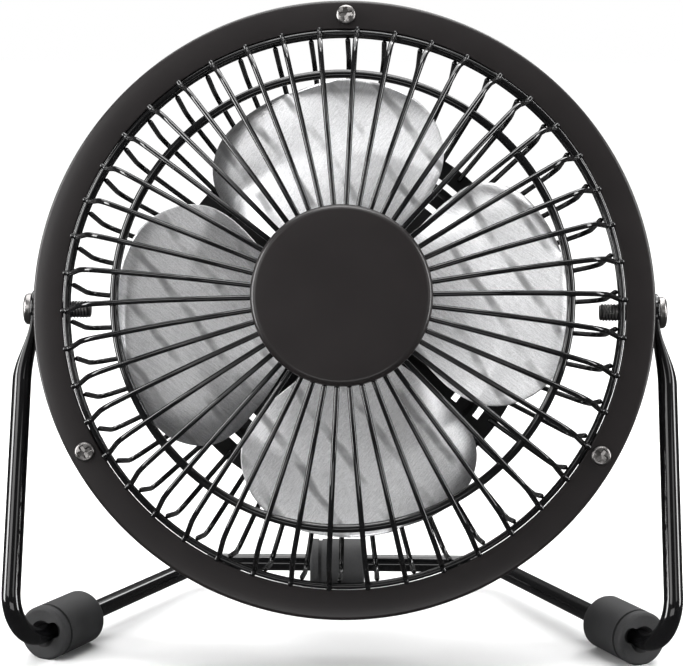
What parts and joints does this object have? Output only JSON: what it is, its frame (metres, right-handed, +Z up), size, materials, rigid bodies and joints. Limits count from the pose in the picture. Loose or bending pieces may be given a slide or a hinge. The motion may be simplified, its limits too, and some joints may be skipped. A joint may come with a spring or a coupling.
{
  "type": "desk fan",
  "caption": "Small metal desk fan: a round wire-guarded head with rolled blades tilts between the legs of a bent-rod stand on rubber feet.",
  "frame": {"origin": "on the floor, at the middle of the outside box of the whole fan", "axes": "+X to the right seen from the front, +Y to the back (the fan blows towards -Y), +Z up"},
  "size_m": [0.1512, 0.094, 0.1485],
  "materials": {
    "rod_enamel": "gloss black enamel",
    "rim_enamel": "satin charcoal enamel",
    "plate_enamel": "semi-gloss black enamel",
    "foot_rubber": "matte moulded rubber",
    "dark_screws": "black nickel plate",
    "blade_metal": "rolled, clear lacquered",
    "cover_plastic": "fine spark texture",
    "switch_plastic": "smooth",
    "motor_steel": "zinc plate",
    "end_cap_plastic": "natural nylon",
    "bearing_bronze": "sintered, oiled",
    "hub_brass": "turned",
    "ferrite": "pressed and sintered",
    "core_steel": "stacked laminations",
    "copper": "enamelled copper",
    "brush_carbon": "graphite",
    "tab_brass": "tinned"
  },
  "bodies": {
    "stand": {"stand_frame": "rod_enamel", "front_left_foot": "foot_rubber", "front_right_foot": "foot_rubber", "rear_foot": "foot_rubber"},
    "head": {"rim": "rim_enamel", "pivot_screws": "dark_screws", "pivot_nuts": "motor_steel", "pivot_washers": "dark_screws", "front_spokes": "rod_enamel", "front_mid_ring": "rod_enamel", "front_outer_ring": "rod_enamel", "centre_disc": "rim_enamel", "front_hub_plate": "plate_enamel", "guard_lugs": "plate_enamel", "flange_screws": "dark_screws", "rear_outer_ring": "rod_enamel", "rear_wires": "rod_enamel", "rear_plate": "plate_enamel", "motor_cover": "cover_plastic", "cover_screws": "dark_screws", "motor_can": "motor_steel", "motor_screws": "motor_steel", "motor_end_cap": "end_cap_plastic", "front_bush": "bearing_bronze", "rear_bush": "bearing_bronze", "motor_magnets": "ferrite", "motor_brushes": "brush_carbon", "motor_terminals": "tab_brass", "switch_body": "switch_plastic", "switch_terminals": "tab_brass", "cable_gland": "foot_rubber"},
    "rotor": {"motor_shaft": "motor_steel", "armature_core": "core_steel", "armature_windings": "copper", "commutator": "copper", "blade_hub": "hub_brass", "grub_screw": "motor_steel", "blade_plate": "motor_steel", "blades": "blade_metal", "blade_rivets": "blade_metal"},
    "rocker": {"switch_rocker": "switch_plastic"}
  },
  "joints": [
    {"name": "head_tilt", "type": "hinge", "parent": "stand", "child": "head", "pos_m": [0, -0.0082, 0.078], "axis": [1, 0, 0], "range_deg": [-76, 103]},
    {"name": "fan_spin", "type": "hinge", "parent": "head", "child": "rotor", "pos_m": [0, -0.0189, 0.08055], "axis": [0, -0.9728, 0.2317], "continuous": true},
    {"name": "switch_rock", "type": "hinge", "parent": "head", "child": "rocker", "pos_m": [0, 0.02572, 0.07712], "axis": [0, 0.2317, 0.9728], "range_deg": [0, 20]}
  ]
}
